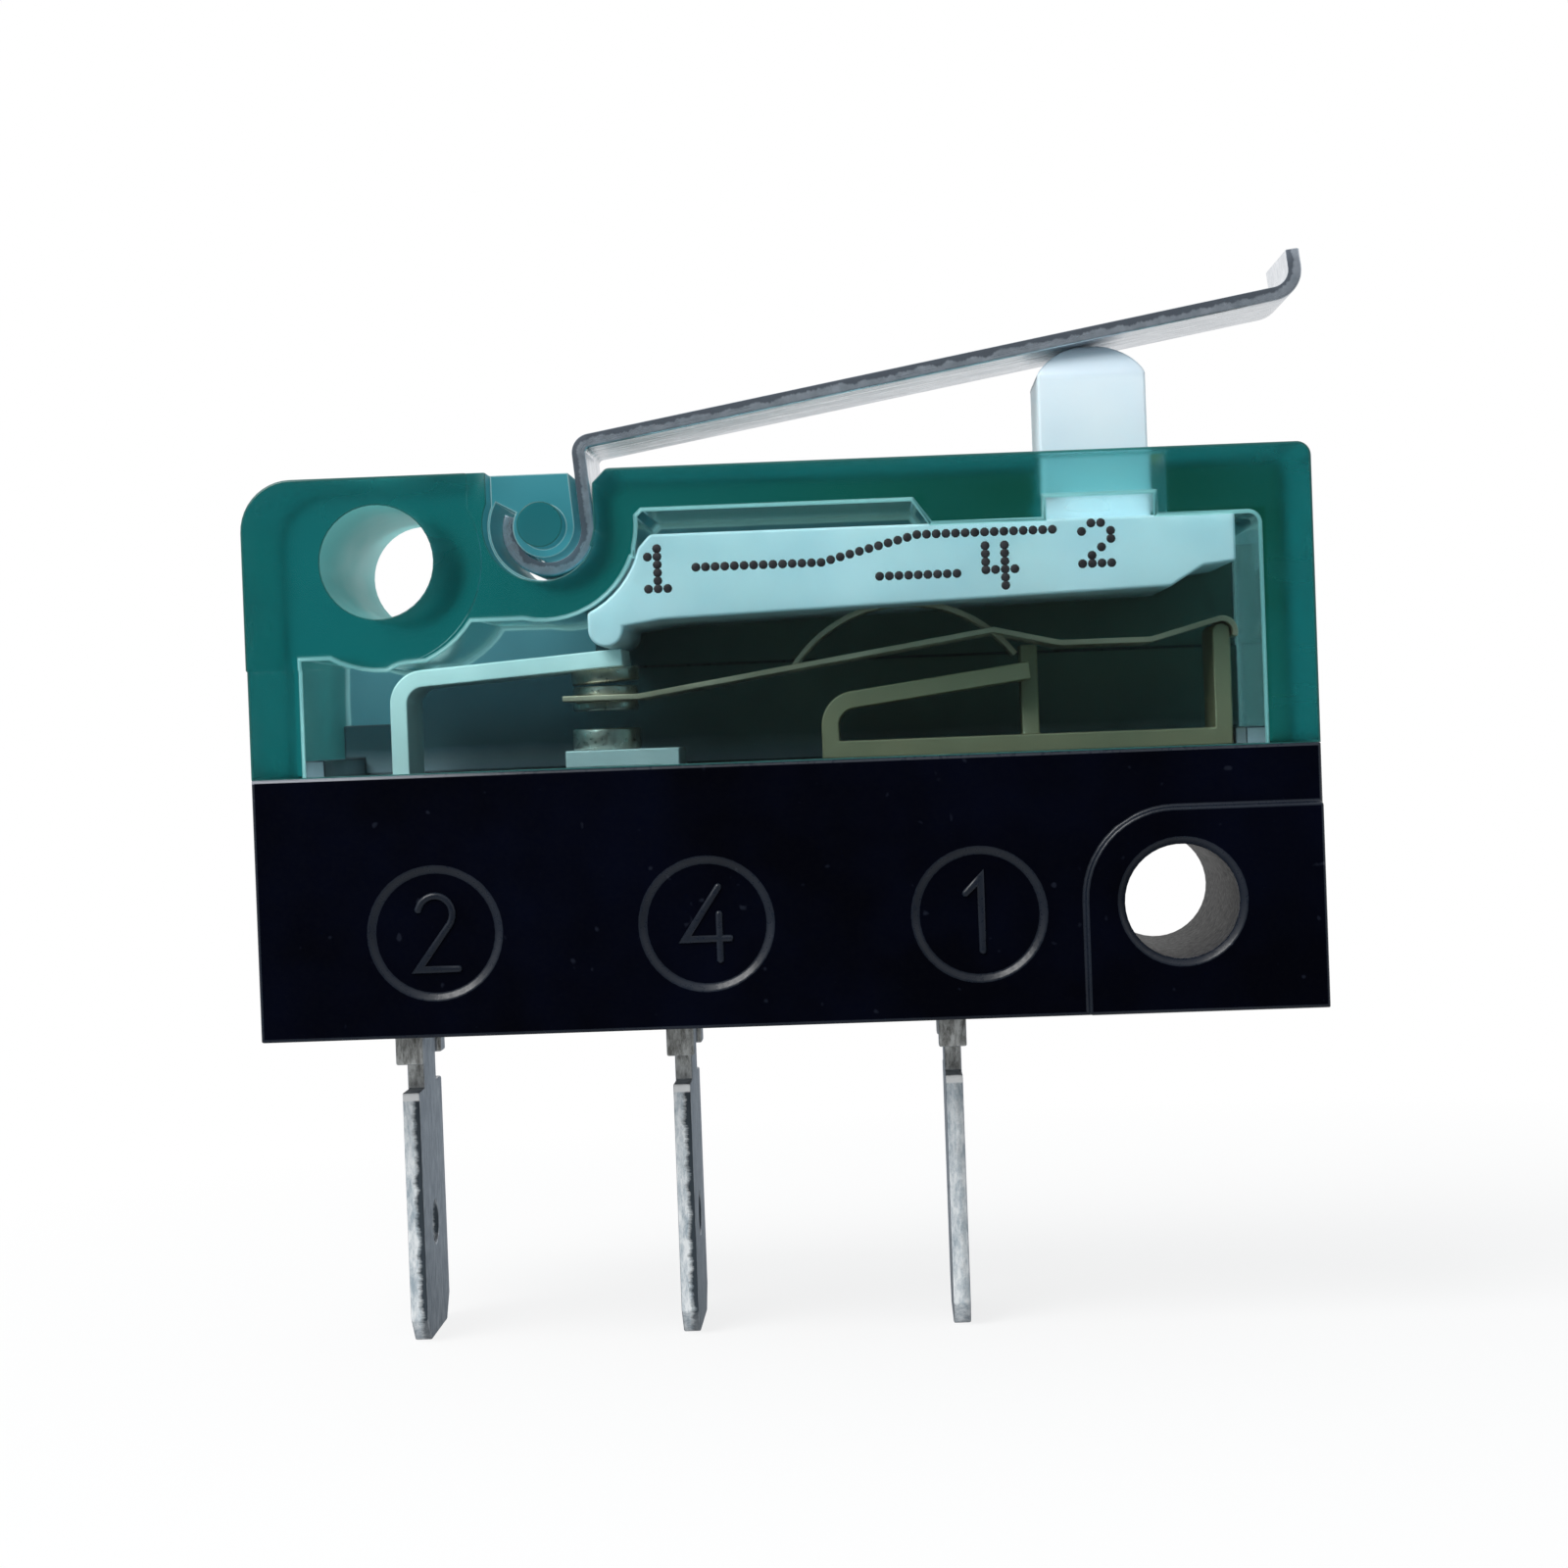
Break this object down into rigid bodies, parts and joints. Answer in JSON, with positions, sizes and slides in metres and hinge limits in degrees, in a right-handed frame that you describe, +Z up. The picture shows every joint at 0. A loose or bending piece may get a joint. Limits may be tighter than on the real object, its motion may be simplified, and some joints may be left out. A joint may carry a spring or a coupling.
{
  "type": "micro switch",
  "caption": "Snap-action micro switch: clear green housing on a black base, white plunger under a hooked steel lever, blade tabs below and fixing holes on a diagonal.",
  "frame": {"origin": "on the axis of the lower fixing hole, half way through the thickness of the case", "axes": "+X along the case towards the lever's tip, +Y through the thickness along the fixing holes, +Z up from the tabs to the lever"},
  "size_m": [0.0302, 0.0104, 0.0306],
  "materials": {
    "green_plastic": "translucent green moulding, smooth gloss",
    "black_plastic": "black moulding, satin",
    "white_plastic": "milky white moulding, satin",
    "lever_steel": "rolled steel strip, satin",
    "tinned_brass": "tin plated strip, satin",
    "spring_bronze": "rolled spring strip, satin",
    "contact_silver": "silver contact face, satin"
  },
  "bodies": {
    "case": {"housing": "green_plastic", "base": "black_plastic", "nc_terminal": "tinned_brass", "no_terminal": "tinned_brass", "common_terminal": "tinned_brass", "nc_contact": "contact_silver", "no_contact": "contact_silver"},
    "lever": {"lever": "lever_steel"},
    "plunger": {"plunger": "white_plastic"},
    "blade": {"moving_blade": "spring_bronze", "bow_spring": "spring_bronze", "moving_contact": "contact_silver"}
  },
  "joints": [
    {"name": "lever_pivot", "type": "hinge", "parent": "case", "child": "lever", "pos_m": [-0.0176, 0, 0.0112], "axis": [0, 1, 0], "range_deg": [0, 3.6], "stiffness_Nm_per_rad": 0.15, "springref_deg": -2.86},
    {"name": "plunger_rock", "type": "hinge", "parent": "case", "child": "plunger", "pos_m": [-0.01595, 0, 0.00823], "axis": [0, 1, 0], "range_deg": [0, 3.9]},
    {"name": "blade_swing", "type": "hinge", "parent": "case", "child": "blade", "pos_m": [0.00165, 0, 0.00755], "axis": [0, -1, 0], "range_deg": [0, 1.56]}
  ],
  "couplings": [
    {"joint": "plunger_rock", "follows": "lever_pivot", "ratio": 1.08},
    {"joint": "blade_swing", "follows": "lever_pivot", "ratio": 0.43}
  ]
}
